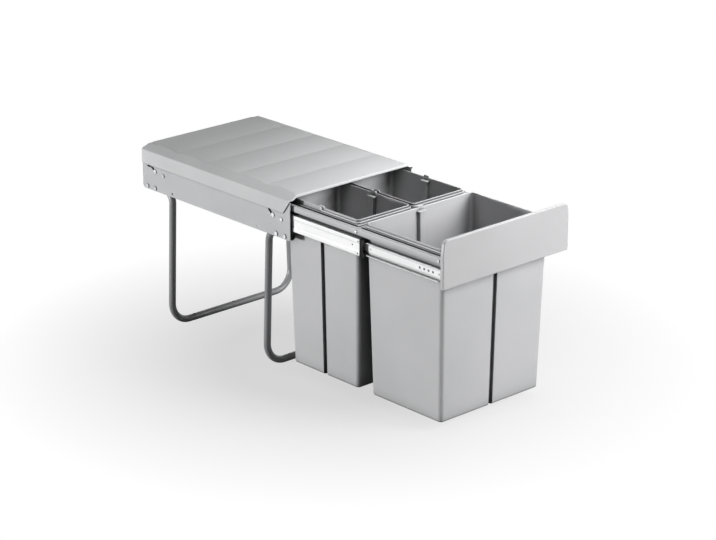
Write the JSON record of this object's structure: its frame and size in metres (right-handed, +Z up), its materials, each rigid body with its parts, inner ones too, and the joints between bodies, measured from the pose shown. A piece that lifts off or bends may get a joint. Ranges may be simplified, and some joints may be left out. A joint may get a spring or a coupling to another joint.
{
  "type": "pull-out waste bin unit",
  "caption": "Pull-out waste bin unit for a kitchen base cabinet: tube hoops and side panels carry a drawer of bins on ball slides, under a lid that stays in the frame.",
  "frame": {"origin": "on the cabinet floor, at the centre of the rectangle of the four outer floor screw holes under the two tube hoops", "axes": "+Z up, -Y towards the front (the drawer opens along -Y), +X to the right seen from the front"},
  "size_m": [0.352, 0.925, 0.411],
  "materials": {
    "coated_steel": "silver-grey powder coat, satin",
    "coated_tube": "darker silver-grey powder coat on steel tube, satin",
    "front_coating": "light silver-grey powder coat, satin",
    "zinc_slide": "bright zinc-plated cold-rolled steel",
    "zinc_fastener": "zinc-plated steel fasteners",
    "ball_steel": "polished hardened steel balls",
    "lid_plastic": "silver-grey moulded plastic, satin",
    "bin_plastic": "grey moulded polypropylene, matt",
    "handle_plastic": "grey moulded polypropylene, matt",
    "black_plastic": "black moulded plastic"
  },
  "bodies": {
    "frame": {"left_side_panel": "coated_steel", "right_side_panel": "coated_steel", "rear_tie_strip": "coated_steel", "front_leg_hoop": "coated_tube", "rear_leg_hoop": "coated_tube", "hoop_end_plugs": "black_plastic", "hoop_bolts": "zinc_fastener", "left_outer_slide": "zinc_slide", "right_outer_slide": "zinc_slide", "slide_screws": "zinc_fastener", "slide_spacers": "zinc_fastener"},
    "lid": {"system_lid": "lid_plastic", "lid_guide_pins": "zinc_fastener"},
    "left_middle": {"left_middle_slide": "zinc_slide", "left_slide_bumper": "black_plastic"},
    "right_middle": {"right_middle_slide": "zinc_slide", "right_slide_bumper": "black_plastic"},
    "left_outer_ball_cage": {"left_outer_cage": "zinc_slide", "left_outer_balls": "ball_steel"},
    "right_outer_ball_cage": {"right_outer_cage": "zinc_slide", "right_outer_balls": "ball_steel"},
    "left_inner_ball_cage": {"left_inner_cage": "zinc_slide", "left_inner_balls": "ball_steel"},
    "right_inner_ball_cage": {"right_inner_cage": "zinc_slide", "right_inner_balls": "ball_steel"},
    "drawer": {"left_inner_slide": "zinc_slide", "right_inner_slide": "zinc_slide", "left_carrier_rail": "coated_steel", "right_carrier_rail": "coated_steel", "front_cross_bar": "coated_steel", "middle_cross_bar": "coated_steel", "rear_cross_bar": "coated_steel", "carrier_screws": "zinc_fastener", "front_panel": "front_coating", "left_panel_bracket": "zinc_slide", "right_panel_bracket": "zinc_slide", "panel_screws": "zinc_fastener", "front_bin": "bin_plastic", "rear_left_bin": "bin_plastic", "rear_right_bin": "bin_plastic", "front_bin_handle": "handle_plastic", "rear_left_bin_handle": "handle_plastic", "rear_right_bin_handle": "handle_plastic"}
  },
  "joints": [
    {"name": "drawer_slide", "type": "slide", "parent": "frame", "child": "drawer", "axis": [0, 1, 0], "range_m": [0, 0.432]},
    {"name": "left_middle_slide_joint", "type": "slide", "parent": "frame", "child": "left_middle", "axis": [0, 1, 0], "range_m": [0, 0.216]},
    {"name": "right_middle_slide_joint", "type": "slide", "parent": "frame", "child": "right_middle", "axis": [0, 1, 0], "range_m": [0, 0.216]},
    {"name": "left_outer_cage_roll", "type": "slide", "parent": "frame", "child": "left_outer_ball_cage", "axis": [0, 1, 0], "range_m": [0, 0.108]},
    {"name": "right_outer_cage_roll", "type": "slide", "parent": "frame", "child": "right_outer_ball_cage", "axis": [0, 1, 0], "range_m": [0, 0.108]},
    {"name": "left_inner_cage_roll", "type": "slide", "parent": "frame", "child": "left_inner_ball_cage", "axis": [0, 1, 0], "range_m": [0, 0.324]},
    {"name": "right_inner_cage_roll", "type": "slide", "parent": "frame", "child": "right_inner_ball_cage", "axis": [0, 1, 0], "range_m": [0, 0.324]},
    {"name": "lid_lift", "type": "slide", "parent": "frame", "child": "lid", "axis": [0, 0.7986, 0.6018], "range_m": [0, 0.015]}
  ],
  "couplings": [
    {"joint": "left_middle_slide_joint", "follows": "drawer_slide", "ratio": 0.5},
    {"joint": "right_middle_slide_joint", "follows": "drawer_slide", "ratio": 0.5},
    {"joint": "left_outer_cage_roll", "follows": "drawer_slide", "ratio": 0.25},
    {"joint": "right_outer_cage_roll", "follows": "drawer_slide", "ratio": 0.25},
    {"joint": "left_inner_cage_roll", "follows": "drawer_slide", "ratio": 0.75},
    {"joint": "right_inner_cage_roll", "follows": "drawer_slide", "ratio": 0.75}
  ]
}
